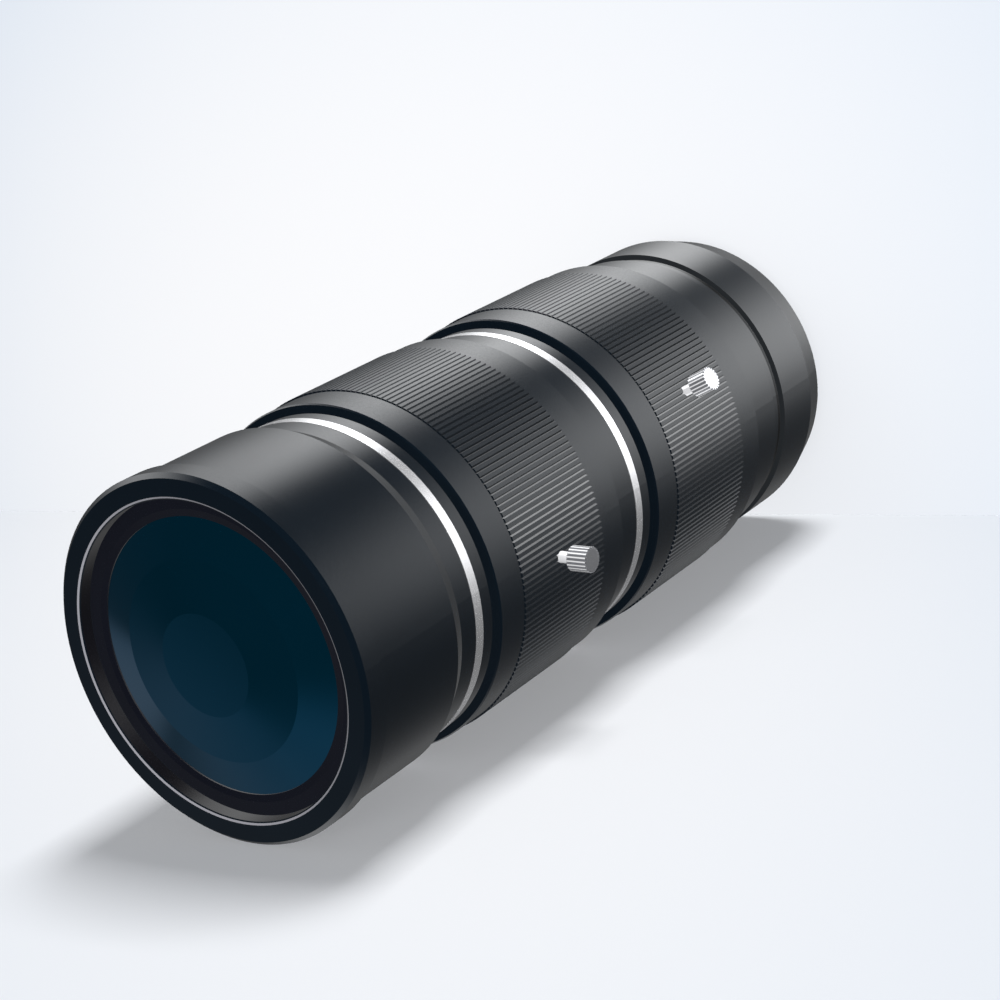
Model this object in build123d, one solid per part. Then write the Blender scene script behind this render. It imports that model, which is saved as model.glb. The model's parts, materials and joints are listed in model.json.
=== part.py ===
"""Laser beam expander with a focus ring and a zoom ring.

Millimetres. The optical axis is +Z. The expander stands on its flat rear face, with the
origin at that face's centre and the output lens at the top. Azimuth is counted about +Z
from +X, the side on which the two lock screws stand.
"""
import os
from math import cos, pi, radians, sin, sqrt

from build123d import *

# ---- lengths along the axis, from the rear face up --------------------------------------
REAR_TAPER_LENGTH = 6.4
REAR_RIM_LENGTH = 10.3
REAR_GROOVE_WIDTH = 3.3
REAR_TUBE_LENGTH = 8.7
RING_END_GAP = 0.3
RING_LENGTH = 35.3
STOP_COLLAR_LENGTH = 2.5
INDEX_RING_WIDTH = 1.8
MIDDLE_COLLAR_LENGTH = 6.3
FRONT_TUBE_LENGTH = 3.7
BARREL_TAPER_LENGTH = 2.8
BARREL_LENGTH = 18.2
FLANGE_LENGTH = 4.3

# ---- walls and steps outside, from the bores outward ---------------------------------------
TUBE_WALL = 1.55
INDEX_RING_STEP = 0.1
REAR_RIM_STEP = 0.2
REAR_TAPER_DEPTH = 1.8
REAR_GROOVE_DEPTH = 1.0
BARREL_WALL = 3.45
FLANGE_STEP = 0.55
FLANGE_CHAMFER = 0.7

# ---- guide tube, carried at both ends, and the fits on it -----------------------------------
GUIDE_RADIUS = 26.2
GUIDE_WALL = 2.7
GUIDE_SEAT_REAR = 7.7
GUIDE_SEAT_FRONT = 8.6
SEAT_CLEARANCE = 0.02
RUNNING_CLEARANCE = 0.05

# ---- front recess, output lens and its retaining ring -----------------------------------
OUTPUT_LENS_RADIUS = 24.0
RECESS_MARGIN = 1.6
RECESS_DEPTH = 2.35
RECESS_CHAMFER_WIDTH = 0.5
RECESS_CHAMFER_DEPTH = 0.3
RETAINER_OVERLAP = 1.75
RETAINER_BEVEL_WIDTH = 1.15
RETAINER_BEVEL_DEPTH = 0.12
RETAINER_LIP = 0.25
RETAINER_SKIRT = 2.6
OUTPUT_FRONT_CURVATURE = 75.0
OUTPUT_CEMENT_CURVATURE = 95.0
OUTPUT_REAR_CURVATURE = 420.0
CROWN_EDGE = 3.2
FLINT_EDGE = 5.4
OUTPUT_SHOULDER_WIDTH = 1.4

# ---- knurled rings ----------------------------------------------------------------------
RING_WALL = 3.0
RING_EDGE_CHAMFER = 0.2
KNURL_STEP = 0.3
KNURL_DEPTH = 0.36
KNURL_WELD = 0.5
KNURL_PITCH = 1.0
KNURL_GROOVE_SHARE = 0.38
KNURL_START = 6.2
KNURL_LENGTH = 22.8

# ---- washers that the rings turn against ---------------------------------------------------
WASHER_WIDTH = 0.85
WASHER_SEAT_DEPTH = 0.5
WASHER_SIDE_CLEARANCE = 0.3
WASHER_RUNNING_GAP = 0.05

# ---- follower pins, the straight slots and the cam grooves ---------------------------------
PIN_RADIUS = 1.5
PIN_WEB = 1.7
PIN_SEAT_CLEARANCE = 0.01
SLOT_CLEARANCE = 0.15
SLOT_END_CLEARANCE = 0.3
CAM_DEPTH = 1.6
CAM_CLEARANCE = 0.2
CAM_END_STEP = 0.03
PIN_TIP_CLEARANCE = 0.25
PIN_AZIMUTHS = (90.0, 270.0)

# ---- turning ranges, degrees, and leads, mm of travel in a full turn -------------------------
FOCUS_TURN = (-60.0, 60.0)
FOCUS_LEAD = 30.0
ZOOM_TURN = (-80.0, 40.0)
VARIATOR_LEAD = 36.0
COMPENSATOR_LEAD = -12.0

# ---- lens cells -------------------------------------------------------------------------
CELL_LAND = 3.0
CELL_RELIEF = 0.4
CELL_BORE_CLEARANCE = 0.05
CELL_SHOULDER_WIDTH = 1.3
CELL_RETAINER_LENGTH = 2.4
CELL_RETAINER_WIDTH = 2.2
FOCUS_CELL_WALL = 4.95
ZOOM_CELL_WALL = 6.45
FOCUS_CELL_FRONT = 9.0
FOCUS_CELL_REAR = 9.0
VARIATOR_CELL_FRONT = 13.0
VARIATOR_CELL_REAR = 5.0
COMPENSATOR_CELL_FRONT = 4.5
COMPENSATOR_CELL_REAR = 11.0
VARIATOR_PIN_HEIGHT = 27.0
COMPENSATOR_PIN_HEIGHT = 6.2

# ---- moving lenses ------------------------------------------------------------------------
FOCUS_LENS_EDGE = 3.0
FOCUS_LENS_CURVATURE = 75.0
VARIATOR_LENS_EDGE = 7.5
VARIATOR_LENS_CURVATURE = 60.0
COMPENSATOR_LENS_EDGE = 3.0
COMPENSATOR_LENS_CURVATURE = 70.0

# ---- spanner slots across the retaining rings inside ----------------------------------------
SPANNER_SLOT_WIDTH = 1.6
SPANNER_SLOT_DEPTH = 1.0

# ---- lock screws ------------------------------------------------------------------------
FOCUS_SCREW_AZIMUTH = -4.0
ZOOM_SCREW_AZIMUTH = 20.6
SCREW_OFFSET = 0.8
SCREW_RADIUS = 0.95
SCREW_HOLE_CLEARANCE = 0.05
SCREW_NECK = 2.2
SCREW_HEAD_RADIUS = 2.05
SCREW_HEAD_LENGTH = 3.5
SCREW_FLUTES = 20
SCREW_FLUTE_DEPTH = 0.32
SCREW_HEAD_CHAMFER = 0.05
PAD_RADIUS = 0.85
PAD_LENGTH = 0.9
PAD_GAP = 0.25

# ---- beam entry in the rear housing ----------------------------------------------------------
ENTRY_THREAD_RADIUS = 14.459
ENTRY_THREAD_LENGTH = 7.0
ENTRY_LENS_RADIUS = 12.7
ENTRY_LENS_EDGE = 3.6
ENTRY_LENS_CURVATURE = 42.0
ENTRY_RETAINER_MARGIN = 0.7
ENTRY_RETAINER_LENGTH = 2.4
ENTRY_RETAINER_WIDTH = 2.1
ENTRY_SHOULDER_WIDTH = 1.5
ENTRY_SHOULDER = 1.8
REAR_CAVITY_LEDGE = 2.0

# ---- small clearances and margins --------------------------------------------------------
LENS_CLEARANCE = 0.01
CUT_MARGIN = 1.0


def sagitta(curvature, radius):
    """Height of a spherical cap."""
    return curvature - sqrt(curvature**2 - radius**2)


def bulge(curvature, lens_radius, contact_radius):
    """How far a convex face stands above its edge where a smaller seat touches it."""
    return sagitta(curvature, lens_radius) - sagitta(curvature, contact_radius)


# ---- heights and radii that follow -----------------------------------------------------------
RIM_BOTTOM = REAR_TAPER_LENGTH
GROOVE_BOTTOM = RIM_BOTTOM + REAR_RIM_LENGTH
GROOVE_TOP = GROOVE_BOTTOM + REAR_GROOVE_WIDTH
REAR_HOUSING_TOP = GROOVE_TOP + REAR_TUBE_LENGTH
ZOOM_RING_BOTTOM = REAR_HOUSING_TOP + RING_END_GAP
ZOOM_RING_TOP = ZOOM_RING_BOTTOM + RING_LENGTH
REAR_COLLAR_BOTTOM = ZOOM_RING_TOP + RING_END_GAP
REAR_INDEX_BOTTOM = REAR_COLLAR_BOTTOM + STOP_COLLAR_LENGTH
MIDDLE_COLLAR_BOTTOM = REAR_INDEX_BOTTOM + INDEX_RING_WIDTH
MIDDLE_COLLAR_TOP = MIDDLE_COLLAR_BOTTOM + MIDDLE_COLLAR_LENGTH
FOCUS_RING_BOTTOM = MIDDLE_COLLAR_TOP + RING_END_GAP
FOCUS_RING_TOP = FOCUS_RING_BOTTOM + RING_LENGTH
FRONT_COLLAR_BOTTOM = FOCUS_RING_TOP + RING_END_GAP
FRONT_INDEX_BOTTOM = FRONT_COLLAR_BOTTOM + STOP_COLLAR_LENGTH
BARREL_BOTTOM = FRONT_INDEX_BOTTOM + INDEX_RING_WIDTH
BARREL_TAPER_BOTTOM = BARREL_BOTTOM + FRONT_TUBE_LENGTH
BARREL_TAPER_TOP = BARREL_TAPER_BOTTOM + BARREL_TAPER_LENGTH
FLANGE_BOTTOM = BARREL_TAPER_TOP + BARREL_LENGTH
FRONT_FACE = FLANGE_BOTTOM + FLANGE_LENGTH

GUIDE_BORE = GUIDE_RADIUS - GUIDE_WALL
GUIDE_BOTTOM = REAR_HOUSING_TOP - GUIDE_SEAT_REAR
GUIDE_TOP = BARREL_BOTTOM + GUIDE_SEAT_FRONT
SEAT_RADIUS = GUIDE_RADIUS + SEAT_CLEARANCE
TUBE_RADIUS = GUIDE_RADIUS + TUBE_WALL
INDEX_RING_RADIUS = TUBE_RADIUS + INDEX_RING_STEP
REAR_RIM_RADIUS = TUBE_RADIUS + REAR_RIM_STEP
REAR_END_RADIUS = REAR_RIM_RADIUS - REAR_TAPER_DEPTH
REAR_CAVITY_RADIUS = GUIDE_BORE - REAR_CAVITY_LEDGE

RING_BORE = GUIDE_RADIUS + RUNNING_CLEARANCE
RING_RADIUS = RING_BORE + RING_WALL
KNURL_RADIUS = RING_RADIUS + KNURL_STEP
KNURL_FLOOR_RADIUS = KNURL_RADIUS - KNURL_DEPTH
KNURL_CARRIER_RADIUS = min(KNURL_FLOOR_RADIUS, RING_RADIUS) - KNURL_WELD / 2
WASHER_RADIUS = RING_BORE + WASHER_WIDTH
CELL_RADIUS = GUIDE_BORE - RUNNING_CLEARANCE
CAM_FLOOR_RADIUS = RING_BORE + CAM_DEPTH
PIN_TIP_RADIUS = CAM_FLOOR_RADIUS - PIN_TIP_CLEARANCE

RECESS_RADIUS = OUTPUT_LENS_RADIUS + RECESS_MARGIN
BARREL_RADIUS = RECESS_RADIUS + BARREL_WALL
FLANGE_RADIUS = BARREL_RADIUS + FLANGE_STEP
RETAINER_APERTURE_RADIUS = OUTPUT_LENS_RADIUS - RETAINER_OVERLAP
RETAINER_FACE_RADIUS = RETAINER_APERTURE_RADIUS + RETAINER_BEVEL_WIDTH
RETAINER_FACE_Z = FRONT_FACE - RECESS_DEPTH
RETAINER_LIP_Z = RETAINER_FACE_Z - RETAINER_BEVEL_DEPTH - RETAINER_LIP
OUTPUT_LIGHT_BORE = OUTPUT_LENS_RADIUS - OUTPUT_SHOULDER_WIDTH
OUTPUT_LENS_TOP = RETAINER_LIP_Z - LENS_CLEARANCE - bulge(
    OUTPUT_FRONT_CURVATURE, OUTPUT_LENS_RADIUS, RETAINER_APERTURE_RADIUS
)
CEMENT_Z = OUTPUT_LENS_TOP - CROWN_EDGE
OUTPUT_LENS_BOTTOM = CEMENT_Z - FLINT_EDGE
OUTPUT_SHOULDER_Z = OUTPUT_LENS_BOTTOM - LENS_CLEARANCE - bulge(
    OUTPUT_REAR_CURVATURE, OUTPUT_LENS_RADIUS, OUTPUT_LIGHT_BORE
)
RECESS_BOTTOM = RETAINER_LIP_Z - RETAINER_SKIRT - SEAT_CLEARANCE

ENTRY_RETAINER_RADIUS = ENTRY_LENS_RADIUS + ENTRY_RETAINER_MARGIN
ENTRY_APERTURE_RADIUS = ENTRY_LENS_RADIUS - ENTRY_SHOULDER_WIDTH
ENTRY_LENS_BOTTOM = ENTRY_THREAD_LENGTH + ENTRY_RETAINER_LENGTH
ENTRY_LENS_TOP = ENTRY_LENS_BOTTOM + ENTRY_LENS_EDGE

FOCUS_PIN_Z = (FOCUS_RING_BOTTOM + FOCUS_RING_TOP) / 2
VARIATOR_PIN_Z = ZOOM_RING_BOTTOM + VARIATOR_PIN_HEIGHT
COMPENSATOR_PIN_Z = ZOOM_RING_BOTTOM + COMPENSATOR_PIN_HEIGHT

FOCUS_LENS_RADIUS = CELL_RADIUS - FOCUS_CELL_WALL
ZOOM_LENS_RADIUS = CELL_RADIUS - ZOOM_CELL_WALL

# ---- moving lenses: radius, edge thickness, then rise and curvature of the rear and the
# front face. A rise of +1 puts a face's centre above its edge, -1 below it.
FOCUS_LENS = (
    FOCUS_LENS_RADIUS, FOCUS_LENS_EDGE, -1, FOCUS_LENS_CURVATURE, 1, FOCUS_LENS_CURVATURE,
)
VARIATOR_LENS = (
    ZOOM_LENS_RADIUS, VARIATOR_LENS_EDGE,
    1, VARIATOR_LENS_CURVATURE, -1, VARIATOR_LENS_CURVATURE,
)
COMPENSATOR_LENS = (
    ZOOM_LENS_RADIUS, COMPENSATOR_LENS_EDGE, 0, None, 1, COMPENSATOR_LENS_CURVATURE,
)


# ---- shared shapes ----------------------------------------------------------------------
def turned(*outline):
    """Solid turned about the axis from a closed outline of (radius, height) points."""
    return revolve(Plane.XZ * make_face(Polyline(*outline, close=True)), Axis.Z)


def ring_blank(inner, outer, bottom, top):
    """Plain ring of rectangular section."""
    return turned((inner, bottom), (outer, bottom), (outer, top), (inner, top))


def slotted_ring(inner, outer, seated_end, length):
    """Threaded retaining ring with a pair of spanner slots across its free end. Its length
    is counted from the seated end: positive upward, negative downward."""
    free_end = seated_end + length
    ring = ring_blank(inner, outer, min(seated_end, free_end), max(seated_end, free_end))
    slots = Box(2 * (outer + CUT_MARGIN), SPANNER_SLOT_WIDTH, 2 * SPANNER_SLOT_DEPTH)
    return ring - Pos(0, 0, free_end) * slots


def radial_plane(azimuth, height):
    """Plane on the axis that faces outward at an azimuth, with its own x along the axis."""
    outward = (cos(radians(azimuth)), sin(radians(azimuth)), 0)
    return Plane(origin=(0, 0, height), x_dir=(0, 0, 1), z_dir=outward)


def radial_rod(azimuth, height, radius, start, end):
    """Round rod along a radius, between two distances from the axis."""
    plane = radial_plane(azimuth, height)
    return extrude(plane.offset(start) * Circle(radius), end - start)


def cap_arc(radius, edge_height, rise, curvature):
    """Half section of a lens face, from the axis to the edge. rise is +1 if the face's
    centre lies above its edge, -1 if it lies below."""
    depth = sagitta(curvature, radius)
    middle = depth - sagitta(curvature, radius / 2)
    return ThreePointArc(
        (0, edge_height + rise * depth),
        (radius / 2, edge_height + rise * middle),
        (radius, edge_height),
    )


def lens(radius, bottom, top, bottom_rise, bottom_curvature, top_rise, top_curvature):
    """Lens turned about the axis. bottom and top are its edge heights. A curvature of
    None is a flat face."""
    edges = [Line((radius, bottom), (radius, top))]
    centres = []
    faces = ((bottom, bottom_rise, bottom_curvature), (top, top_rise, top_curvature))
    for height, rise, curvature in faces:
        if curvature is None:
            edges.append(Line((0, height), (radius, height)))
            centres.append(height)
        else:
            edges.append(cap_arc(radius, height, rise, curvature))
            centres.append(height + rise * sagitta(curvature, radius))
    edges.append(Line((0, centres[0]), (0, centres[1])))
    return revolve(Plane.XZ * make_face(edges), Axis.Z)


# ---- fixed pieces -----------------------------------------------------------------------
def front_barrel():
    """Front housing: flange, barrel, output lens seat and the seat of the guide tube."""
    lens_seat = OUTPUT_LENS_RADIUS + CELL_BORE_CLEARANCE
    return turned(
        (SEAT_RADIUS, BARREL_BOTTOM),
        (TUBE_RADIUS, BARREL_BOTTOM),
        (TUBE_RADIUS, BARREL_TAPER_BOTTOM),
        (BARREL_RADIUS, BARREL_TAPER_TOP),
        (BARREL_RADIUS, FLANGE_BOTTOM),
        (FLANGE_RADIUS, FLANGE_BOTTOM),
        (FLANGE_RADIUS, FRONT_FACE - FLANGE_CHAMFER),
        (FLANGE_RADIUS - FLANGE_CHAMFER, FRONT_FACE),
        (RECESS_RADIUS + RECESS_CHAMFER_WIDTH, FRONT_FACE),
        (RECESS_RADIUS, FRONT_FACE - RECESS_CHAMFER_DEPTH),
        (RECESS_RADIUS, RECESS_BOTTOM),
        (lens_seat, RECESS_BOTTOM),
        (lens_seat, OUTPUT_SHOULDER_Z),
        (OUTPUT_LIGHT_BORE, OUTPUT_SHOULDER_Z),
        (OUTPUT_LIGHT_BORE, GUIDE_TOP),
        (SEAT_RADIUS, GUIDE_TOP),
    )


def output_retaining_ring():
    """Screws into the front recess and holds the output lens by its rim."""
    outer = RECESS_RADIUS - SEAT_CLEARANCE
    skirt_bore = OUTPUT_LENS_RADIUS + CELL_BORE_CLEARANCE
    skirt_end = RETAINER_LIP_Z - RETAINER_SKIRT
    return turned(
        (RETAINER_APERTURE_RADIUS, RETAINER_LIP_Z),
        (RETAINER_APERTURE_RADIUS, RETAINER_LIP_Z + RETAINER_LIP),
        (RETAINER_FACE_RADIUS, RETAINER_FACE_Z),
        (outer, RETAINER_FACE_Z),
        (outer, skirt_end),
        (skirt_bore, skirt_end),
        (skirt_bore, RETAINER_LIP_Z),
    )


def output_crown_lens():
    """Front half of the cemented output doublet, convex on both faces."""
    return lens(
        OUTPUT_LENS_RADIUS, CEMENT_Z, OUTPUT_LENS_TOP,
        -1, OUTPUT_CEMENT_CURVATURE, 1, OUTPUT_FRONT_CURVATURE,
    )


def output_flint_lens():
    """Rear half of the output doublet. Its front face fits the crown's rear face."""
    return lens(
        OUTPUT_LENS_RADIUS, OUTPUT_LENS_BOTTOM, CEMENT_Z,
        -1, OUTPUT_REAR_CURVATURE, -1, OUTPUT_CEMENT_CURVATURE,
    )


def guide_tube():
    """Inner tube that both rings turn on, with a pair of straight slots for each cell."""
    tube = ring_blank(GUIDE_BORE, GUIDE_RADIUS, GUIDE_BOTTOM, GUIDE_TOP)
    width = 2 * (PIN_RADIUS + SLOT_CLEARANCE)
    for name, pin_z, lead, turn in CELL_DRIVES:
        low, high = travel(lead, turn)
        centres = high - low + 2 * (SLOT_END_CLEARANCE - SLOT_CLEARANCE)
        for azimuth in PIN_AZIMUTHS:
            plane = radial_plane(azimuth, pin_z + (low + high) / 2)
            tube -= extrude(plane * SlotCenterToCenter(centres, width), 2 * GUIDE_RADIUS)
    return tube


def rear_housing():
    """Rear housing: clamping rim, groove, entry thread, entry lens seat and guide seat."""
    retainer_bore = ENTRY_RETAINER_RADIUS + SEAT_CLEARANCE
    lens_bore = ENTRY_LENS_RADIUS + CELL_BORE_CLEARANCE
    return turned(
        (ENTRY_THREAD_RADIUS, 0),
        (REAR_END_RADIUS, 0),
        (REAR_RIM_RADIUS, RIM_BOTTOM),
        (REAR_RIM_RADIUS, GROOVE_BOTTOM),
        (REAR_RIM_RADIUS - REAR_GROOVE_DEPTH, GROOVE_BOTTOM),
        (REAR_RIM_RADIUS - REAR_GROOVE_DEPTH, GROOVE_TOP),
        (TUBE_RADIUS, GROOVE_TOP),
        (TUBE_RADIUS, REAR_HOUSING_TOP),
        (SEAT_RADIUS, REAR_HOUSING_TOP),
        (SEAT_RADIUS, GUIDE_BOTTOM),
        (REAR_CAVITY_RADIUS, GUIDE_BOTTOM),
        (ENTRY_APERTURE_RADIUS, ENTRY_LENS_TOP + ENTRY_SHOULDER),
        (ENTRY_APERTURE_RADIUS, ENTRY_LENS_TOP),
        (lens_bore, ENTRY_LENS_TOP),
        (lens_bore, ENTRY_LENS_BOTTOM),
        (retainer_bore, ENTRY_LENS_BOTTOM),
        (retainer_bore, ENTRY_THREAD_LENGTH),
        (ENTRY_THREAD_RADIUS, ENTRY_THREAD_LENGTH),
    )


def entry_lens():
    """Fixed negative lens at the beam entry, flat towards the laser."""
    return lens(
        ENTRY_LENS_RADIUS, ENTRY_LENS_BOTTOM, ENTRY_LENS_TOP,
        0, None, -1, ENTRY_LENS_CURVATURE,
    )


def entry_retaining_ring():
    """Holds the entry lens against its shoulder."""
    inner = ENTRY_RETAINER_RADIUS - ENTRY_RETAINER_WIDTH
    return slotted_ring(
        inner, ENTRY_RETAINER_RADIUS, ENTRY_LENS_BOTTOM, -ENTRY_RETAINER_LENGTH
    )


# ---- cell drives: name, pin height at rest, lead and turning range ----------------------------
CELL_DRIVES = (
    ("focus", FOCUS_PIN_Z, FOCUS_LEAD, FOCUS_TURN),
    ("variator", VARIATOR_PIN_Z, VARIATOR_LEAD, ZOOM_TURN),
    ("compensator", COMPENSATOR_PIN_Z, COMPENSATOR_LEAD, ZOOM_TURN),
)


def travel(lead, turn):
    """Lowest and highest place of a cell, from its rest place, over its ring's range."""
    ends = [lead * angle / 360 for angle in turn]
    return min(ends), max(ends)


def cam_groove(pin_azimuth, pin_z, lead, turn):
    """Cutters for a round-ended helical groove in a ring's bore: the helix and its two
    ends, which are a small step narrower. The groove carries a pin, which a straight slot
    keeps at its azimuth, up by one lead in each full turn."""
    inner = RING_BORE - CAM_DEPTH
    middle = (inner + CAM_FLOOR_RADIUS) / 2
    half_width = PIN_RADIUS + CAM_CLEARANCE
    end_radius = half_width - CAM_END_STEP
    rise = abs(lead) * (turn[1] - turn[0]) / 360
    lowest = turn[0] if lead > 0 else turn[1]
    helix = Helix(abs(lead), rise, middle, lefthand=lead > 0)
    section = Plane(origin=(middle, 0, 0), x_dir=(1, 0, 0), z_dir=helix % 0)
    profile = section * Rectangle(CAM_FLOOR_RADIUS - inner, 2 * half_width)
    place = Pos(0, 0, pin_z + lead * lowest / 360) * Rot(0, 0, pin_azimuth - lowest)
    cutters = [place * sweep(profile, helix, is_frenet=True)]
    for angle in turn:
        end_z = pin_z + lead * angle / 360
        end_azimuth = pin_azimuth - angle
        cutters.append(radial_rod(end_azimuth, end_z, end_radius, inner, CAM_FLOOR_RADIUS))
    return cutters


# ---- lens cells -------------------------------------------------------------------------
def cell_retainer_radius(lens_radius):
    """Outer radius of the threaded retainer over a lens."""
    return lens_radius + CELL_RETAINER_WIDTH / 2


def pin_start(lens_radius):
    """Distance from the axis to a follower pin's inner end, outside the lens seat."""
    return lens_radius + CELL_BORE_CLEARANCE + PIN_WEB


def lens_heights(top, shape):
    """Edge heights of a cell's lens, and the height of the shoulder under it, when the
    cell's front end is at top. A convex face stands off its seat by its bulge."""
    radius, edge, rear_rise, rear_curvature, front_rise, front_curvature = shape
    lens_top = top - CELL_RETAINER_LENGTH - LENS_CLEARANCE
    if front_rise > 0:
        contact = cell_retainer_radius(radius) - CELL_RETAINER_WIDTH
        lens_top -= bulge(front_curvature, radius, contact)
    shoulder = lens_top - edge - LENS_CLEARANCE
    if rear_rise < 0:
        shoulder -= bulge(rear_curvature, radius, radius - CELL_SHOULDER_WIDTH)
    return lens_top - edge, lens_top, shoulder


def cell(pin_z, front, rear, shape):
    """Cell that slides in the guide tube: two lands, a relieved waist, a lens seat under
    the retainer at its front end, and a blind hole for each follower pin."""
    bottom = pin_z - rear
    top = pin_z + front
    lens_radius = shape[0]
    seat = lens_radius + CELL_BORE_CLEARANCE
    light_bore = lens_radius - CELL_SHOULDER_WIDTH
    retainer_bore = cell_retainer_radius(lens_radius) + SEAT_CLEARANCE
    shoulder = lens_heights(top, shape)[2]
    retainer_seat = top - CELL_RETAINER_LENGTH
    waist = CELL_RADIUS - CELL_RELIEF
    body = turned(
        (light_bore, bottom),
        (CELL_RADIUS, bottom),
        (CELL_RADIUS, bottom + CELL_LAND),
        (waist, bottom + CELL_LAND + CELL_RELIEF),
        (waist, top - CELL_LAND - CELL_RELIEF),
        (CELL_RADIUS, top - CELL_LAND),
        (CELL_RADIUS, top),
        (retainer_bore, top),
        (retainer_bore, retainer_seat),
        (seat, retainer_seat),
        (seat, shoulder),
        (light_bore, shoulder),
    )
    hole = PIN_RADIUS + PIN_SEAT_CLEARANCE
    for azimuth in PIN_AZIMUTHS:
        body -= radial_rod(
            azimuth, pin_z, hole, pin_start(lens_radius), CELL_RADIUS + CUT_MARGIN
        )
    return body


def cell_retainer(pin_z, front, lens_radius):
    """Threaded ring that holds a cell's lens down on its seat."""
    outer = cell_retainer_radius(lens_radius)
    seat = pin_z + front - CELL_RETAINER_LENGTH
    return slotted_ring(outer - CELL_RETAINER_WIDTH, outer, seat, CELL_RETAINER_LENGTH)


def follower_pins(pin_z, lens_radius):
    """The two pins that carry one cell through the slots into its cam grooves."""
    start = pin_start(lens_radius)
    return [radial_rod(a, pin_z, PIN_RADIUS, start, PIN_TIP_RADIUS) for a in PIN_AZIMUTHS]


# ---- knurled rings ----------------------------------------------------------------------
def knurl_band(bottom):
    """Band of straight knurling: flat-topped teeth with V grooves between them. Its bore
    overlaps the ring that carries it."""
    count = round(2 * pi * KNURL_RADIUS / KNURL_PITCH)
    step = 2 * pi / count
    half_top = step * (1 - KNURL_GROOVE_SHARE) / 2
    points = []
    for tooth in range(count):
        middle = tooth * step
        for radius, angle in (
            (KNURL_RADIUS, middle - half_top),
            (KNURL_RADIUS, middle + half_top),
            (KNURL_FLOOR_RADIUS, middle + step / 2),
        ):
            points.append((radius * cos(angle), radius * sin(angle)))
    outline = make_face(Polyline(*points, close=True)) - Circle(KNURL_CARRIER_RADIUS - KNURL_WELD)
    return Pos(0, 0, bottom) * extrude(outline, KNURL_LENGTH)


def ring_body(bottom):
    """Turned body of a ring, with a washer seat at each end and a turned-down middle
    under the knurling."""
    top = bottom + RING_LENGTH
    washer_seat = WASHER_RADIUS + WASHER_SIDE_CLEARANCE
    edge = RING_RADIUS - RING_EDGE_CHAMFER
    knurl_top = top - KNURL_START
    knurl_bottom = knurl_top - KNURL_LENGTH
    return turned(
        (RING_BORE, bottom + WASHER_SEAT_DEPTH),
        (washer_seat, bottom + WASHER_SEAT_DEPTH),
        (washer_seat, bottom),
        (edge, bottom),
        (RING_RADIUS, bottom + RING_EDGE_CHAMFER),
        (RING_RADIUS, knurl_bottom),
        (KNURL_CARRIER_RADIUS, knurl_bottom),
        (KNURL_CARRIER_RADIUS, knurl_top),
        (RING_RADIUS, knurl_top),
        (RING_RADIUS, top - RING_EDGE_CHAMFER),
        (edge, top),
        (washer_seat, top),
        (washer_seat, top - WASHER_SEAT_DEPTH),
        (RING_BORE, top - WASHER_SEAT_DEPTH),
    )


def knurled_ring(bottom, screw_azimuth, drives):
    """Ring with a knurled grip, a threaded hole for its lock screw, and a pair of cam
    grooves in its bore for each cell that it drives."""
    ring = ring_body(bottom)
    for _, pin_z, lead, turn in drives:
        for azimuth in PIN_AZIMUTHS:
            for cutter in cam_groove(azimuth, pin_z, lead, turn):
                ring -= cutter
    ring += knurl_band(bottom + RING_LENGTH - KNURL_START - KNURL_LENGTH)
    hole = SCREW_RADIUS + SCREW_HOLE_CLEARANCE
    screw_z = bottom + RING_LENGTH / 2 + SCREW_OFFSET
    outside = KNURL_RADIUS + CUT_MARGIN
    return ring - radial_rod(screw_azimuth, screw_z, hole, GUIDE_BORE, outside)


def washer(ring_end, side):
    """Sliding washer in the seat at a ring's end. side is +1 at the ring's top end."""
    inner_face = ring_end - side * (WASHER_SEAT_DEPTH - WASHER_RUNNING_GAP)
    collar_face = ring_end + side * RING_END_GAP
    low, high = sorted((inner_face, collar_face))
    return ring_blank(RING_BORE, WASHER_RADIUS, low, high)


def collar(bottom, length):
    """Plain collar fixed on the guide tube beside a ring."""
    return ring_blank(SEAT_RADIUS, TUBE_RADIUS, bottom, bottom + length)


def index_ring(bottom):
    """Bright index ring clamped between two collars."""
    return ring_blank(SEAT_RADIUS, INDEX_RING_RADIUS, bottom, bottom + INDEX_RING_WIDTH)


# ---- lock screws ------------------------------------------------------------------------
def lock_pad(azimuth, height):
    """Soft pad between a lock screw's tip and the guide tube."""
    start = GUIDE_RADIUS + PAD_GAP
    return radial_rod(azimuth, height, PAD_RADIUS, start, start + PAD_LENGTH)


def fluted_head(plane):
    """Head of a lock screw: a chamfered disc with round-bottomed flutes."""
    blank = extrude(plane * Circle(SCREW_HEAD_RADIUS), SCREW_HEAD_LENGTH)
    blank = chamfer(blank.edges().filter_by(GeomType.CIRCLE), SCREW_HEAD_CHAMFER)
    step = 360 / SCREW_FLUTES
    flute_radius = SCREW_HEAD_RADIUS * radians(step) / 4
    centre = SCREW_HEAD_RADIUS - SCREW_FLUTE_DEPTH + flute_radius
    spots = PolarLocations(centre, SCREW_FLUTES)
    flutes = Sketch() + [spot * Circle(flute_radius) for spot in spots]
    return blank - extrude(plane * flutes, SCREW_HEAD_LENGTH)


def lock_screw(azimuth, height):
    """Thumbscrew: fluted head, and a shank that goes through the ring to its pad."""
    tip = GUIDE_RADIUS + PAD_GAP + PAD_LENGTH
    head_start = KNURL_RADIUS + SCREW_NECK
    shank = radial_rod(azimuth, height, SCREW_RADIUS, tip, head_start)
    return shank + fluted_head(radial_plane(azimuth, height).offset(head_start))


# ---- the pieces, one file each -----------------------------------------------------------
def write(name, shape):
    """Writes one piece, or a group of like pieces, under its own name."""
    solids = shape if isinstance(shape, list) else list(shape.solids())
    for solid in solids:
        solid.label = name
    whole = solids[0] if len(solids) == 1 else Compound(children=solids)
    whole.label = name
    export_step(whole, f"parts/{name}.step")


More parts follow.
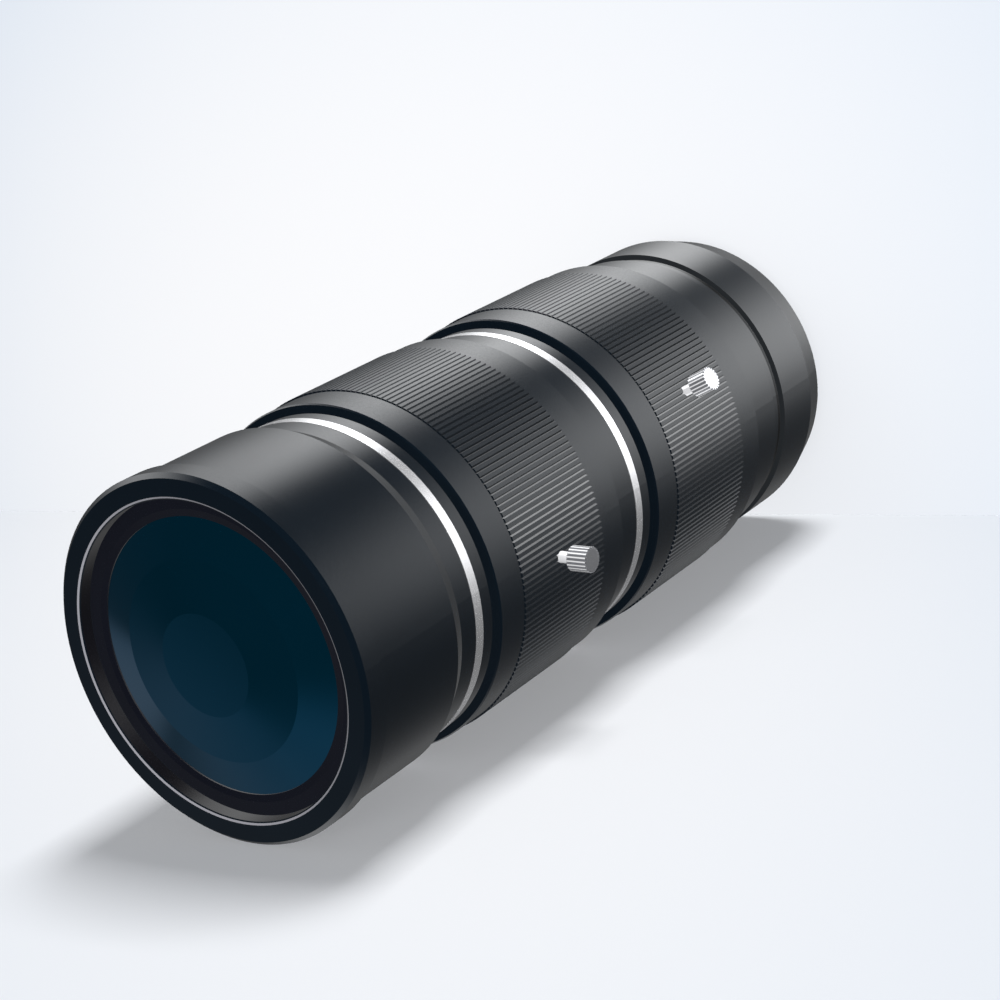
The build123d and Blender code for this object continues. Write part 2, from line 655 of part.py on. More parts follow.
def main():
    os.makedirs("parts", exist_ok=True)
    focus_drive, variator_drive, compensator_drive = CELL_DRIVES

    write("front_barrel", front_barrel())
    write("output_retaining_ring", output_retaining_ring())
    write("output_crown_lens", output_crown_lens())
    write("output_flint_lens", output_flint_lens())
    write("guide_tube", guide_tube())
    write("rear_housing", rear_housing())
    write("entry_lens", entry_lens())
    write("entry_retaining_ring", entry_retaining_ring())
    write("front_stop_collar", collar(FRONT_COLLAR_BOTTOM, STOP_COLLAR_LENGTH))
    write("rear_stop_collar", collar(REAR_COLLAR_BOTTOM, STOP_COLLAR_LENGTH))
    write("middle_collar", collar(MIDDLE_COLLAR_BOTTOM, MIDDLE_COLLAR_LENGTH))
    write("front_index_ring", index_ring(FRONT_INDEX_BOTTOM))
    write("rear_index_ring", index_ring(REAR_INDEX_BOTTOM))

    rings = (
        ("focus", FOCUS_RING_BOTTOM, FOCUS_SCREW_AZIMUTH, (focus_drive,)),
        ("zoom", ZOOM_RING_BOTTOM, ZOOM_SCREW_AZIMUTH, (variator_drive, compensator_drive)),
    )
    for name, bottom, azimuth, drives in rings:
        screw_z = bottom + RING_LENGTH / 2 + SCREW_OFFSET
        write(f"{name}_ring", knurled_ring(bottom, azimuth, drives))
        write(f"{name}_ring_front_washer", washer(bottom + RING_LENGTH, 1))
        write(f"{name}_ring_rear_washer", washer(bottom, -1))
        write(f"{name}_lock_screw", lock_screw(azimuth, screw_z))
        write(f"{name}_lock_pad", lock_pad(azimuth, screw_z))

    cells = (
        ("focus", FOCUS_PIN_Z, FOCUS_CELL_FRONT, FOCUS_CELL_REAR, FOCUS_LENS),
        ("variator", VARIATOR_PIN_Z, VARIATOR_CELL_FRONT, VARIATOR_CELL_REAR, VARIATOR_LENS),
        (
            "compensator",
            COMPENSATOR_PIN_Z,
            COMPENSATOR_CELL_FRONT,
            COMPENSATOR_CELL_REAR,
            COMPENSATOR_LENS,
        ),
    )
    for name, pin_z, front, rear, shape in cells:
        radius, _, *faces = shape
        lens_bottom, lens_top, _ = lens_heights(pin_z + front, shape)
        write(f"{name}_cell", cell(pin_z, front, rear, shape))
        write(f"{name}_lens", lens(radius, lens_bottom, lens_top, *faces))
        write(f"{name}_lens_retainer", cell_retainer(pin_z, front, radius))
        write(f"{name}_follower_pins", follower_pins(pin_z, radius))


main()
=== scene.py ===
"""Laser beam expander: finishes, fine forms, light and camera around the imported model.

Every length is in metres, so a named length is written as its millimetres times MM. Heights
are measured from the flat rear face, up the optical axis.
"""

import json
import math

import bpy
from mathutils import Matrix, Vector


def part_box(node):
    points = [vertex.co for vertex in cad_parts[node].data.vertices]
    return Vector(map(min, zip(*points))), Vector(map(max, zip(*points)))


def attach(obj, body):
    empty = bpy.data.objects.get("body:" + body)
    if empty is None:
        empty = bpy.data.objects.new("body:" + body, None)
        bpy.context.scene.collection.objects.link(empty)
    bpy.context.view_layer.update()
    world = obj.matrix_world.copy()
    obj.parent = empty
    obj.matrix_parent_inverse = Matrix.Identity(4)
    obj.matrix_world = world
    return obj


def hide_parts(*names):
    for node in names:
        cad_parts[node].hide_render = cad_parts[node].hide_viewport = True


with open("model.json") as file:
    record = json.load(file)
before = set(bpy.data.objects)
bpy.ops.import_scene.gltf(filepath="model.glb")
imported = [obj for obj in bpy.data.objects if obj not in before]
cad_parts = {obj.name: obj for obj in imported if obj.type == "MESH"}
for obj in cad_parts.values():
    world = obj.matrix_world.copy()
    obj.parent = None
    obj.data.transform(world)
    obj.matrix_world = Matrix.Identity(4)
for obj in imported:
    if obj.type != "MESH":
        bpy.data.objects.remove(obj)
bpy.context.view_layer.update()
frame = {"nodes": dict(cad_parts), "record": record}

MM = 0.001

# ---- shader nodes ---------------------------------------------------------------------------
# Most of a noise's values lie between these two.
NOISE_LOW = 0.3
NOISE_HIGH = 0.7

# Depth of the fine turned lines on metal.
MARK_DEPTH = 0.004 * MM


class Nodes:
    """The node tree of a material or a world, with short calls to add and link nodes."""

    def __init__(self, owner):
        owner.use_nodes = True
        self.owner = owner
        self.tree = owner.node_tree
        self.shader = self.tree.nodes.get("Principled BSDF")

    def add(self, kind, **settings):
        """A new node. Each setting is one of its properties or the value of an input."""
        node = self.tree.nodes.new("ShaderNode" + kind)
        for key, value in settings.items():
            if hasattr(node, key):
                setattr(node, key, value)
            else:
                node.inputs[key].default_value = value
        return node

    def link(self, source, target):
        self.tree.links.new(source, target)

    def set(self, **values):
        """Uniform values, on the shader's own sockets."""
        for key, value in values.items():
            self.shader.inputs[key.replace("_", " ")].default_value = value

    def feed(self, key, source):
        self.link(source, self.shader.inputs[key])

    def base_colour(self):
        """The output that feeds the shader's colour so far."""
        return self.shader.inputs["Base Color"].links[0].from_socket

    def coordinates(self):
        return self.add("TexCoord").outputs["Object"]

    def split(self, vector):
        node = self.add("SeparateXYZ")
        self.link(vector, node.inputs[0])
        return [node.outputs[axis] for axis in "XYZ"]

    def math(self, operation, *inputs):
        """Result of a Math node, whose inputs are numbers or other nodes' outputs."""
        node = self.add("Math", operation=operation)
        for socket, value in zip(node.inputs, inputs):
            if isinstance(value, (int, float)):
                socket.default_value = value
            else:
                self.link(value, socket)
        return node.outputs[0]

    def vector_math(self, operation, source, other=(0, 0, 0)):
        """Result of a VectorMath node on another node's output and a fixed vector."""
        node = self.add("VectorMath", operation=operation)
        self.link(source, node.inputs[0])
        node.inputs[1].default_value = other
        is_number = operation in ("DOT_PRODUCT", "LENGTH")
        return node.outputs["Value" if is_number else "Vector"]

    def radius_and_height(self):
        """Distance from the optical axis, and height along it."""
        x, y, z = self.split(self.coordinates())
        square = self.math("ADD", self.math("MULTIPLY", x, x), self.math("MULTIPLY", y, y))
        return self.math("SQRT", square), z

    def between(self, value, low, high):
        """1 where a value lies between two limits, otherwise 0."""
        above = self.math("GREATER_THAN", value, low)
        below = self.math("LESS_THAN", value, high)
        return self.math("MULTIPLY", above, below)

    def ranged(self, value, low, high, from_low, from_high):
        """A value that runs from low to high while its source runs between the other two."""
        node = self.add("MapRange")
        for key, number in (
            ("From Min", from_low), ("From Max", from_high), ("To Min", low), ("To Max", high),
        ):
            node.inputs[key].default_value = number
        self.link(value, node.inputs["Value"])
        return node.outputs[0]

    def mixed(self, factor, first, second):
        """Colour between two colours, each a tuple or a node's output."""
        node = self.add("Mix", data_type="RGBA")
        self.link(factor, node.inputs["Factor"])
        for socket, colour in ((node.inputs[6], first), (node.inputs[7], second)):
            if isinstance(colour, tuple):
                socket.default_value = (*colour, 1)
            else:
                self.link(colour, socket)
        return node.outputs[2]

    def noise(self, scale, detail):
        node = self.add("TexNoise", Scale=scale, Detail=detail)
        self.link(self.coordinates(), node.inputs["Vector"])
        return node.outputs["Fac"]

    def mottle(self, colour, gain, scale, detail):
        """Base colour that wanders between a colour and the same colour times a gain."""
        other = tuple(min(1.0, gain * channel) for channel in colour)
        self.feed("Base Color", self.mixed(self.noise(scale, detail), colour, other))

    def grain(self, low, high, scale):
        """Roughness that wanders between two values."""
        noise = self.noise(scale, detail=2)
        self.feed("Roughness", self.ranged(noise, low, high, NOISE_LOW, NOISE_HIGH))

    def tool_marks(self, pitch, strength):
        """Fine turned lines: a wave along the axis, and one across it on flat faces."""
        radius, height = self.radius_and_height()
        along = self.math("ADD", radius, height)
        wave = self.math("SINE", self.math("MULTIPLY", along, 2 * math.pi / pitch))
        node = self.add("Bump", Strength=strength, Distance=MARK_DEPTH)
        self.link(wave, node.inputs["Height"])
        self.feed("Normal", node.outputs[0])


def material_nodes(name):
    return Nodes(bpy.data.materials.new(name))


# ---- finishes -------------------------------------------------------------------------------
ANODISED_PITCH = 0.16 * MM
ANODISED_IOR = 1.45
BRIGHT_PITCH = 0.12 * MM


def anodised(name, base, roughness, lines=0.05):
    """Black anodised aluminium: dark dyed oxide with a satin gloss and fine tool marks."""
    nodes = material_nodes(name)
    nodes.mottle(base, gain=1.3, scale=90, detail=4)
    nodes.grain(roughness - 0.03, roughness + 0.03, scale=2600)
    nodes.set(IOR=ANODISED_IOR)
    nodes.tool_marks(ANODISED_PITCH, lines)
    return nodes


def bright_metal(name, base, roughness, metallic=1.0, lines=0.1):
    """Bare turned metal with bright tool marks."""
    nodes = material_nodes(name)
    nodes.mottle(base, gain=1.05, scale=160, detail=3)
    nodes.grain(roughness - 0.03, roughness + 0.04, scale=1800)
    nodes.set(Metallic=metallic)
    nodes.tool_marks(BRIGHT_PITCH, lines)
    return nodes


def polymer(name, base):
    """Low-friction plastic with a faint mottle."""
    nodes = material_nodes(name)
    nodes.mottle(base, gain=0.9, scale=700, detail=3)
    nodes.set(Roughness=0.55)
    return nodes


def clear_glass(name, tint):
    """Inner lens: clear glass with a faint mottle in its tint."""
    nodes = material_nodes(name)
    nodes.mottle(tint, gain=0.97, scale=60, detail=1)
    nodes.set(Roughness=0.02, IOR=1.52, Transmission_Weight=1.0)
    return nodes


COATING_DEEP = (0.0003, 0.0113, 0.0205)
COATING_PALE = (0.0003, 0.0123, 0.0225)
COATING_SHEEN = (0.08, 0.48, 1.0, 1)
COATING_IOR = 2.55


def coated_glass(name):
    """Front lens: deep blue under a blue-green anti-reflection coating."""
    nodes = material_nodes(name)
    cloud = nodes.noise(scale=45, detail=1)
    nodes.feed("Base Color", nodes.mixed(cloud, COATING_DEEP, COATING_PALE))
    nodes.set(Roughness=0.1, IOR=COATING_IOR, Specular_Tint=COATING_SHEEN)
    return nodes


BLACK = (0.0025, 0.0053, 0.0089)
BODY_ROUGHNESS = 0.17

# The front barrel's recess and the chamfer round its mouth. The recess wall is painted darker as
# shade, and the chamfer carries a painted highlight. A skin is a small margin that keeps a rule to
# its own face, here and further down.
BARREL_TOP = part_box("front_barrel")[1].z
RECESS_RADIUS = 25.6 * MM
RECESS_DEPTH = 2.3 * MM
RECESS_SKIN = 0.02 * MM
# Painted shade: the recess wall's darker colour.
RECESS_PAINTED_SHADE = (0.003, 0.0028, 0.0055)
CHAMFER_WIDTH = 0.5 * MM
CHAMFER_DEPTH = 0.3 * MM
CHAMFER_SKIN = 0.004 * MM
# Painted highlight: a pale ring painted on the chamfer.
HIGHLIGHT_START = 0.2 * MM
CHAMFER_PAINTED_HIGHLIGHT = (0.40, 0.40, 0.44)
HIGHLIGHT_METALLIC = 0.35


def barrel_finish_with_painted_light():
    """Black front housing, with painted shade on its recess wall and a painted highlight on the
    chamfer round its mouth.
    """
    nodes = anodised("anodised_barrel_front_painted_light", BLACK, BODY_ROUGHNESS)
    black = nodes.base_colour()
    radius, height = nodes.radius_and_height()
    chamfer_foot = BARREL_TOP - CHAMFER_DEPTH
    # Painted highlight on the chamfer, with a little metallic gloss.
    highlight_ring = nodes.between(radius, RECESS_RADIUS + HIGHLIGHT_START, RECESS_RADIUS + CHAMFER_WIDTH)
    highlight_level = nodes.between(height, chamfer_foot, BARREL_TOP - CHAMFER_SKIN)
    painted_highlight = nodes.math("MULTIPLY", highlight_ring, highlight_level)
    # Painted shade on the recess wall.
    wall_ring = nodes.between(radius, 0.0, RECESS_RADIUS + RECESS_SKIN)
    wall_level = nodes.between(height, BARREL_TOP - RECESS_DEPTH, chamfer_foot)
    wall = nodes.math("MULTIPLY", wall_ring, wall_level)
    shaded = nodes.mixed(wall, black, RECESS_PAINTED_SHADE)
    nodes.feed("Base Color", nodes.mixed(painted_highlight, shaded, CHAMFER_PAINTED_HIGHLIGHT))
    nodes.feed("Metallic", nodes.math("MULTIPLY", painted_highlight, HIGHLIGHT_METALLIC))
    return nodes


# The rear housing's groove: the height of its rear wall, the radius of its floor, and the width of
# the painted shadow that lies on the floor beside that wall. The rear wall itself is painted
# lighter.
GROOVE_REAR = 16.7 * MM
GROOVE_FLOOR = 26.95 * MM
GROOVE_SHADOW_WIDTH = 0.7 * MM
GROOVE_SKIN = 0.03 * MM
# Painted shadow on the groove floor, and painted light on the groove's rear wall.
GROOVE_PAINTED_SHADOW = (0.007, 0.008, 0.009)
GROOVE_WALL_PAINTED_LIGHT = (0.019, 0.0215, 0.024)


def rear_finish_with_painted_light():
    """Black rear housing, with a painted shadow on its groove's floor beside the groove's rear
    wall, and that wall painted lighter.
    """
    nodes = anodised("anodised_rear_housing_painted_light", BLACK, BODY_ROUGHNESS)
    black = nodes.base_colour()
    radius, height = nodes.radius_and_height()
    # Painted shadow beside the groove's rear wall, and the wall painted lighter.
    sunk = nodes.between(radius, GROOVE_FLOOR - GROOVE_SKIN, GROOVE_FLOOR + GROOVE_SKIN)
    beside = nodes.between(height, GROOVE_REAR + GROOVE_SKIN, GROOVE_REAR + GROOVE_SHADOW_WIDTH)
    painted_groove_shadow = nodes.math("MULTIPLY", sunk, beside)
    wall = nodes.between(height, GROOVE_REAR - GROOVE_SKIN, GROOVE_REAR + GROOVE_SKIN)
    nodes.feed("Base Color", nodes.mixed(wall, nodes.mixed(painted_groove_shadow, black, GROOVE_PAINTED_SHADOW), GROOVE_WALL_PAINTED_LIGHT))
    nodes.feed("Metallic", painted_groove_shadow)
    return nodes


# A thumbscrew's end face stands at a distance from the optical axis. The floor of its flutes
# is a radius round the screw's own axis.
SCREW_FACE = 35.25 * MM
SCREW_END = (0.50, 0.505, 0.53)
# Painted light: the neck is painted lighter than the end face.
SCREW_NECK_PAINTED_LIGHT = (0.95, 0.95, 0.97)
SCREW_METALLIC = 0.96
FLUTES = 20
FLUTE_FLOOR = 1.73 * MM
FLUTE_SKIN = 0.04 * MM
# Painted shade in the flutes' valleys and a painted highlight on their crests.
FLUTE_PAINTED_SHADE = (0.2, 0.205, 0.22)
FLUTE_PAINTED_HIGHLIGHT = (0.98, 0.98, 1.0)
FLUTE_METALLIC = 0.3
CREST_EDGE = -0.45
CREST_BLUR = 0.1


def screw_finish_with_painted_light(name, node, azimuth):
    """Stainless thumbscrew, with a painted highlight on its flutes' crests, painted shade in their
    valleys and its neck painted lighter. The screw's axis is radial, at an azimuth in degrees and
    at the middle of the node's height."""
    nodes = bright_metal(name, SCREW_END, roughness=0.16)
    end = nodes.base_colour()
    low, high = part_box(node)
    x, y, z = nodes.split(nodes.coordinates())
    c, s = math.cos(math.radians(azimuth)), math.sin(math.radians(azimuth))
    out = nodes.math("ADD", nodes.math("MULTIPLY", x, c), nodes.math("MULTIPLY", y, s))
    side = nodes.math("SUBTRACT", nodes.math("MULTIPLY", y, c), nodes.math("MULTIPLY", x, s))
    rise = nodes.math("SUBTRACT", z, (low.z + high.z) / 2)
    squares = nodes.math("MULTIPLY_ADD", side, side, nodes.math("MULTIPLY", rise, rise))
    distance = nodes.math("SQRT", squares)
    below_face = nodes.math("LESS_THAN", out, SCREW_FACE - FLUTE_SKIN)
    fluted = nodes.math("GREATER_THAN", distance, FLUTE_FLOOR - FLUTE_SKIN)
    on_flutes = nodes.math("MULTIPLY", below_face, fluted)
    angle = nodes.math("ARCTAN2", rise, side)
    wave = nodes.math("COSINE", nodes.math("MULTIPLY", angle, FLUTES))
    # Painted highlight on the crests, painted shade in the valleys.
    shaded_valley = nodes.ranged(wave, 0, 1, CREST_EDGE - CREST_BLUR, CREST_EDGE + CREST_BLUR)
    tone = nodes.mixed(shaded_valley, FLUTE_PAINTED_HIGHLIGHT, FLUTE_PAINTED_SHADE)
    plain = nodes.mixed(below_face, end, SCREW_NECK_PAINTED_LIGHT)
    nodes.feed("Base Color", nodes.mixed(on_flutes, plain, tone))
    nodes.feed("Metallic", nodes.ranged(below_face, SCREW_METALLIC, FLUTE_METALLIC, 0, 1))
    return nodes


RETAINER_BLACK = (0.0038, 0.0045, 0.0082)
INNER_BLACK = (0.006, 0.006, 0.008)
ALUMINIUM = (0.88, 0.88, 0.90)
STEEL = (0.85, 0.85, 0.87)
PALE_PLASTIC = (0.82, 0.82, 0.79)
GLASS_TINT = (0.86, 0.94, 1.0)
FOCUS_SCREW_AZIMUTH = -4.0
ZOOM_SCREW_AZIMUTH = 20.6

barrel_front = barrel_finish_with_painted_light()
barrel_rear = rear_finish_with_painted_light()
barrel_black = anodised("anodised_body", BLACK, BODY_ROUGHNESS)
grip_black = anodised("anodised_grip", BLACK, roughness=0.24, lines=0.03)
retainer_black = anodised("anodised_retainer", RETAINER_BLACK, roughness=0.3)
inner_black = anodised("anodised_inner", INNER_BLACK, roughness=0.5)
silver = bright_metal("bare_aluminium", ALUMINIUM, roughness=0.24, metallic=0.8, lines=0.03)
steel = bright_metal("stainless_steel", STEEL, roughness=0.2, metallic=0.5)
focus_screw_steel = screw_finish_with_painted_light("focus_screw_steel", "focus_lock_screw", FOCUS_SCREW_AZIMUTH)
zoom_screw_steel = screw_finish_with_painted_light("zoom_screw_steel", "zoom_lock_screw", ZOOM_SCREW_AZIMUTH)
plastic = polymer("sliding_plastic", PALE_PLASTIC)
inner_glass = clear_glass("inner_glass", GLASS_TINT)
front_glass = coated_glass("coated_front_glass")

# ---- pieces -----------------------------------------------------------------------------------
TURNED_STEPS = 360


def mesh_object(name, verts, faces, nodes, body, smooth_angle):
    """A new piece that rides on a body. Edges that bend by more than the angle, in degrees,
    stay sharp."""
    mesh = bpy.data.meshes.new(name)
    mesh.from_pydata(verts, [], faces)
    mesh.update()
    mesh.materials.append(nodes.owner)
    mesh.shade_smooth()
    mesh.set_sharp_from_angle(angle=math.radians(smooth_angle))
    piece = bpy.data.objects.new(name, mesh)
    piece.visible_glossy = False
    bpy.context.scene.collection.objects.link(piece)
    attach(piece, body)
    return piece


def turned_mesh(outline):
    """Points and faces of a solid turned from an open outline of (radius, height), whose
    two ends lie on the axis, given anticlockwise."""
    inner = outline[1:-1]
    verts = [(0, 0, outline[0][1]), (0, 0, outline[-1][1])]
    for step in range(TURNED_STEPS):
        angle = 2 * math.pi * step / TURNED_STEPS
        c, s = math.cos(angle), math.sin(angle)
        verts.extend((r * c, r * s, z) for r, z in inner)
    count = len(inner)
    faces = []
    for step in range(TURNED_STEPS):
        here = 2 + step * count
        there = 2 + (step + 1) % TURNED_STEPS * count
        faces.append((0, there, here))
        for i in range(count - 1):
            faces.append((here + i, there + i, there + i + 1, here + i + 1))
        faces.append((1, here + count - 1, there + count - 1))
    return verts, faces


LENS_ZONES = (
    # outer radius, and the dome's slope where the zone starts and where it ends
    (8.24 * MM, 0.0, 0.02),
    (16.23 * MM, 0.183, 0.183),
    (24.0 * MM, 0.335, 0.335),
)
LENS_REAR_CURVATURE = 95.0 * MM
LENS_STEPS = 24


def front_lens():
    """Crown lens whose domed front shows three nested zones, each steeper than the one
    inside it. Its slope eases from a zone's first value to its last."""
    low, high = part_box("output_crown_lens")
    front = [(0.0, high.z)]
    start = 0.0
    for end, first, last in LENS_ZONES:
        for step in range(1, LENS_STEPS + 1):
            r0, z0 = front[-1]
            r1 = start + (end - start) * step / LENS_STEPS
            slope = first + (last - first) * (step - 0.5) / LENS_STEPS
            front.append((r1, z0 - slope * (r1 - r0)))
        start = end
    rim = front[-1][0]
    rear = []
    for step in range(LENS_STEPS + 1):
        r = rim * step / LENS_STEPS
        depth = LENS_REAR_CURVATURE - math.sqrt(LENS_REAR_CURVATURE**2 - r**2)
        rear.append((r, low.z + depth))
    verts, faces = turned_mesh(rear + front[::-1])
    piece = mesh_object(
        "coated_crown_lens", verts, faces, front_glass, "housing", smooth_angle=4
    )
    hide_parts("output_crown_lens")


# The entry's thread. Its ridge has a root a little inside the bore's wall and a narrow crest,
# each given as half a width, and rises and falls over a run at each end, in turns.
THREAD_BORE = 14.459 * MM
THREAD_PITCH = 1.0 * MM
THREAD_START = 0.6 * MM
THREAD_TURNS = 5.8
THREAD_RUN = 0.25
THREAD_STEPS = 120
RIDGE_HEIGHT = 0.199 * MM
RIDGE_LEAST = 0.02
RIDGE_SUNK = 0.02 * MM
RIDGE_ROOT = 0.44 * MM
RIDGE_CREST = 0.07 * MM


def entry_thread():
    """Fine internal thread of the beam entry: one ridge that winds up its bore."""
    section = (
        (RIDGE_SUNK, -RIDGE_ROOT), (RIDGE_SUNK, RIDGE_ROOT),
        (-RIDGE_HEIGHT, RIDGE_CREST), (-RIDGE_HEIGHT, -RIDGE_CREST),
    )
    corners = len(section)
    rings = round(THREAD_TURNS * THREAD_STEPS) + 1
    verts = []
    for ring in range(rings):
        turns = ring / THREAD_STEPS
        share = min(1.0, turns / THREAD_RUN, (THREAD_TURNS - turns) / THREAD_RUN)
        angle = 2 * math.pi * turns
        for out, up in section:
            r = THREAD_BORE + (out if out > 0 else out * max(share, RIDGE_LEAST))
            z = THREAD_START + THREAD_PITCH * turns + up
            verts.append((r * math.cos(angle), r * math.sin(angle), z))
    last = (rings - 1) * corners
    faces = [tuple(range(corners)), tuple(reversed(range(last, last + corners)))]
    for ring in range(rings - 1):
        here, there = ring * corners, (ring + 1) * corners
        for i in range(corners):
            j = (i + 1) % corners
            faces.append((here + i, there + i, there + j, here + j))
    piece = mesh_object(
        "beam_entry_thread", verts, faces, inner_black, "housing", smooth_angle=25
    )


front_lens()
entry_thread()

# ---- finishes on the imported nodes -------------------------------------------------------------
SLOT_FINISHES = {
    "anodised_black": inner_black,
    "bare_aluminium": silver,
    "stainless_steel": steel,
    "coated_glass": inner_glass,
    "sliding_plastic": plastic,
}
OWN_FINISHES = {
    "front_barrel": barrel_front,
    "rear_housing": barrel_rear,
    "front_stop_collar": barrel_black,
    "middle_collar": barrel_black,
    "rear_stop_collar": barrel_black,
    "focus_ring": grip_black,
    "zoom_ring": grip_black,
    "output_retaining_ring": retainer_black,
    "output_crown_lens": front_glass,
    "focus_lock_screw": focus_screw_steel,
    "zoom_lock_screw": zoom_screw_steel,
}
for entry in frame["record"]["subparts"]:
    finish = OWN_FINISHES.get(entry["node"], SLOT_FINISHES[entry["material_slot"]])
    packed = frame["nodes"][entry["node"]]
    packed.visible_glossy = False
    packed.data.materials.clear()
    packed.data.materials.append(finish.owner)

# ---- camera -----------------------------------------------------------------------------------
CAMERA_PLACE = Vector((229.4, 102.6, 357.5)) * MM
CAMERA_RIGHT = Vector((0.8009, -0.2035, -0.5632))
CAMERA_UP = Vector((0.0, 0.9405, -0.3398))
CAMERA_BACK = Vector((0.5988, 0.2722, 0.7532))

# Blender takes a camera's focal length and sensor in millimetres.
FOCAL_LENGTH = 80.09
SENSOR_WIDTH = 36

camera_data = bpy.data.cameras.new("camera")
camera_data.sensor_width = SENSOR_WIDTH
camera_data.lens = FOCAL_LENGTH
camera_data.clip_start = 10 * MM
camera_data.clip_end = 20000 * MM
camera = bpy.data.objects.new("camera", camera_data)
turn = Matrix((CAMERA_RIGHT, CAMERA_UP, CAMERA_BACK)).transposed()
camera.matrix_world = Matrix.Translation(CAMERA_PLACE) @ turn.to_4x4()
bpy.context.scene.collection.objects.link(camera)
bpy.context.scene.camera = camera

# ---- floor and backdrop -----------------------------------------------------------------------
# The floor lies under the rear face. The backdrop touches the body's side, where the photograph
# has its own floor. The paper carries a painted pool of light, paler near an axis through their
# middle and darker and bluer away from it.
BODY_RADIUS = 29.6 * MM
STAGE_REACH = 1000 * MM
STAGE_MIDDLE = Vector((-51, 8, 37)) * MM
STAGE_AXIS = Vector((0.599, 0.272, 0.753))
PAPER_REACH = 143 * MM
PAPER_EASE = 2.3
# Painted pool of light: paler near the axis, darker and bluer away from it.
PAPER_PAINTED_LIT = (0.913, 0.916, 0.932)
PAPER_PAINTED_DIM = (0.683, 0.744, 0.829)


def paper_with_painted_light():
    """Pale matt studio paper with a painted pool of light: paler near the axis, darker and bluer
    away from it. It shows and shades only on its front."""
    nodes = material_nodes("studio_paper_painted_light")
    offset = nodes.vector_math("SUBTRACT", nodes.coordinates(), STAGE_MIDDLE)
    across = nodes.vector_math("CROSS_PRODUCT", offset, STAGE_AXIS)
    distance = nodes.vector_math("LENGTH", across)
    # Painted pool of light round the axis.
    away = nodes.ranged(distance, 0, 1, 0, PAPER_REACH)
    eased = nodes.math("POWER", away, PAPER_EASE)
    nodes.feed("Base Color", nodes.mixed(eased, PAPER_PAINTED_LIT, PAPER_PAINTED_DIM))
    nodes.set(Roughness=1.0, Specular_IOR_Level=0.0)
    mix = nodes.add("MixShader")
    nodes.link(nodes.add("NewGeometry").outputs["Backfacing"], mix.inputs[0])
    nodes.link(nodes.shader.outputs[0], mix.inputs[1])
    nodes.link(nodes.add("BsdfTransparent").outputs[0], mix.inputs[2])
    nodes.link(mix.outputs[0], nodes.tree.nodes["Material Output"].inputs["Surface"])
    return nodes


def stage_plane(name, corners, nodes):
    """Sheet of paper that the camera sees. It neither blocks light nor shows in gloss."""
    mesh = bpy.data.meshes.new(name)
    mesh.from_pydata(corners, [], [(0, 1, 2, 3)])
    mesh.materials.append(nodes.owner)
    plane = bpy.data.objects.new(name, mesh)
    plane.visible_glossy = False
    plane.visible_diffuse = False
    plane.visible_shadow = False
    bpy.context.scene.collection.objects.link(plane)


paper = paper_with_painted_light()
far = STAGE_REACH
side = -BODY_RADIUS
stage_plane("floor", [(-far, -far, 0), (far, -far, 0), (far, far, 0), (-far, far, 0)], paper)
stage_plane(
    "backdrop", [(-far, side, far), (far, side, far), (far, side, 0), (-far, side, 0)], paper
)

# ---- light ------------------------------------------------------------------------------------
OBJECT_MIDDLE = Vector((0, 0, 72)) * MM


def softbox(name, direction, distance, size, power, casts=True):
    """Square area light that faces the object's middle from a direction."""
    light = bpy.data.lights.new(name, "AREA")
    light.shape = "SQUARE"
    light.size = size
    light.energy = power
    light.use_shadow = casts
    lamp = bpy.data.objects.new(name, light)
    away = Vector(direction).normalized()
    lamp.location = OBJECT_MIDDLE + away * distance
    lamp.rotation_mode = "QUATERNION"
    lamp.rotation_quaternion = away.to_track_quat("Z", "Y")
    lamp.visible_glossy = False
    bpy.context.scene.collection.objects.link(lamp)


softbox("key", (0.1, 1.0, -0.3), distance=2400 * MM, size=860 * MM, power=38)
softbox("fill", (0.6, 0.27, 0.75), distance=5000 * MM, size=900 * MM, power=292, casts=False)
softbox("top", (0.0, 0.2, 1.0), distance=2800 * MM, size=1400 * MM, power=11)

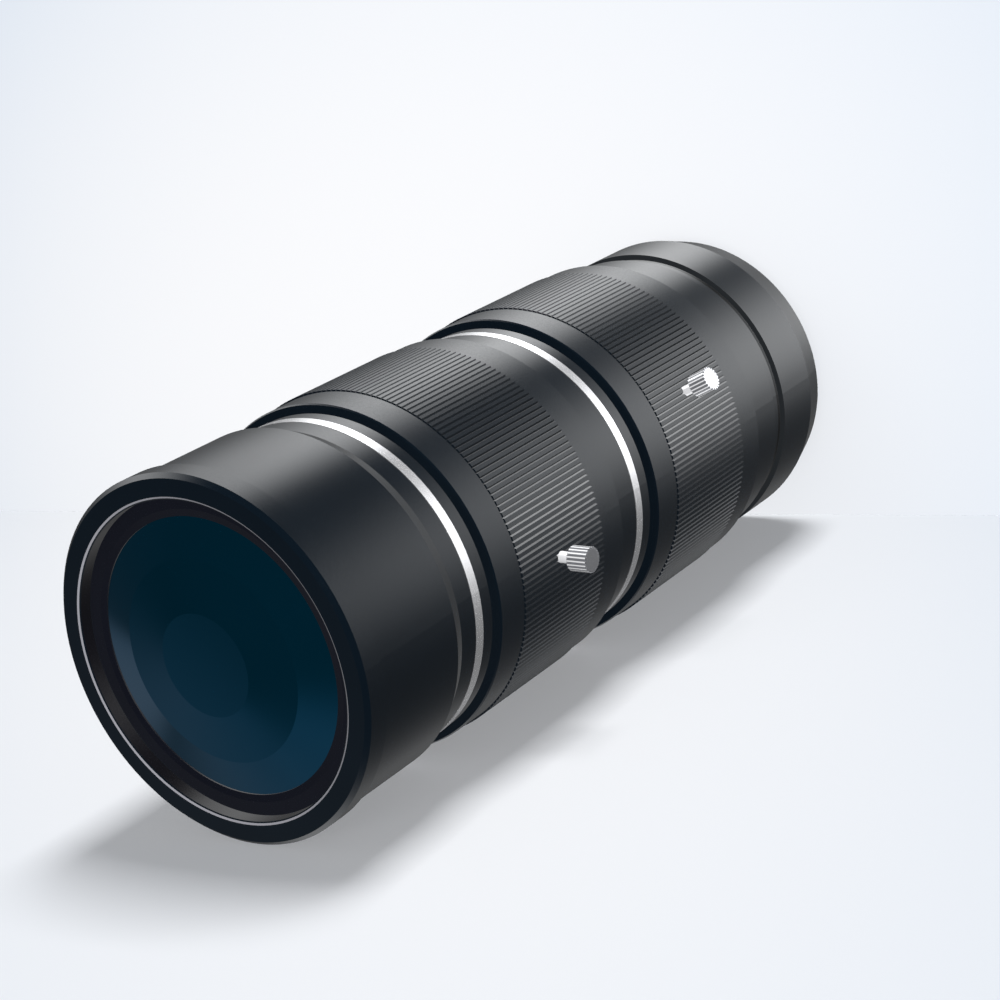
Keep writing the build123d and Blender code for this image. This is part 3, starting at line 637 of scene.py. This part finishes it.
FILL = (0.097, 0.10, 0.103)
PALE_SKY = (0.80, 0.86, 0.93)
GLOWS = (
    # direction, brightness, sharpness, and the power that steepens its edge
    ((-0.215, 0.612, -0.761), 2.17, 59.0, 1.29),
    ((-0.393, 0.496, -0.774), 2.8, 37.5, 0.69),
    ((0.378, 0.115, -0.919), 3.86, 18.1, 1.26),
    ((-0.294, -0.605, -0.740), 0.147, 48.9, 0.70),
    ((-0.721, -0.551, 0.421), 0.129, 15.5, 2.57),
    ((-0.943, -0.332, -0.030), 0.198, 70.0, 3.0),
    ((-0.109, -0.782, 0.613), 0.204, 13.1, 2.05),
    ((-0.755, 0.631, 0.163), 2.2, 21.0, 1.3),
    # three soft lights round the horizon, for the sides that this camera doesn't see
    ((0.933, 0.339, -0.12), 1.6, 12.0, 1.3),
    ((-0.760, 0.638, -0.12), 1.6, 12.0, 1.3),
    ((-0.172, -0.977, -0.12), 1.6, 12.0, 1.3),
)
GLOW_TINT = Vector((0.99, 1.0, 1.01))

# Between the glows it is dim, and dimmer towards the top, but never quite dark.
GLOOM = 0.051
GLOOM_SLOPE = -0.07
GLOOM_LEAST = 0.008


def studio_world():
    """Dim surroundings with round soft glows, seen in gloss, over a pale even fill."""
    world = bpy.data.worlds.new("studio")
    nodes = Nodes(world)
    direction = nodes.add("TexCoord").outputs["Generated"]
    upward = nodes.split(direction)[2]
    slanted = nodes.math("MULTIPLY_ADD", upward, GLOOM_SLOPE, GLOOM)
    level = nodes.math("MAXIMUM", slanted, GLOOM_LEAST)
    for towards, brightness, sharpness, steepness in GLOWS:
        dot = nodes.vector_math("DOT_PRODUCT", direction, Vector(towards).normalized())
        off = nodes.math("MULTIPLY_ADD", dot, -sharpness, sharpness)
        fall = nodes.math("POWER", nodes.math("MAXIMUM", off, 0.0), steepness)
        glow = nodes.math("EXPONENT", nodes.math("MULTIPLY", fall, -1.0))
        level = nodes.math("MULTIPLY_ADD", glow, brightness, level)
    gloss = nodes.vector_math("MULTIPLY", level, GLOW_TINT)
    rays = nodes.add("LightPath")
    colour = nodes.mixed(rays.outputs["Is Diffuse Ray"], PALE_SKY, FILL)
    colour = nodes.mixed(rays.outputs["Is Glossy Ray"], colour, gloss)
    nodes.link(colour, nodes.tree.nodes["Background"].inputs["Color"])
    world.cycles.sampling_method = "NONE"
    bpy.context.scene.world = world


studio_world()
bpy.context.scene.view_settings.view_transform = "Standard"
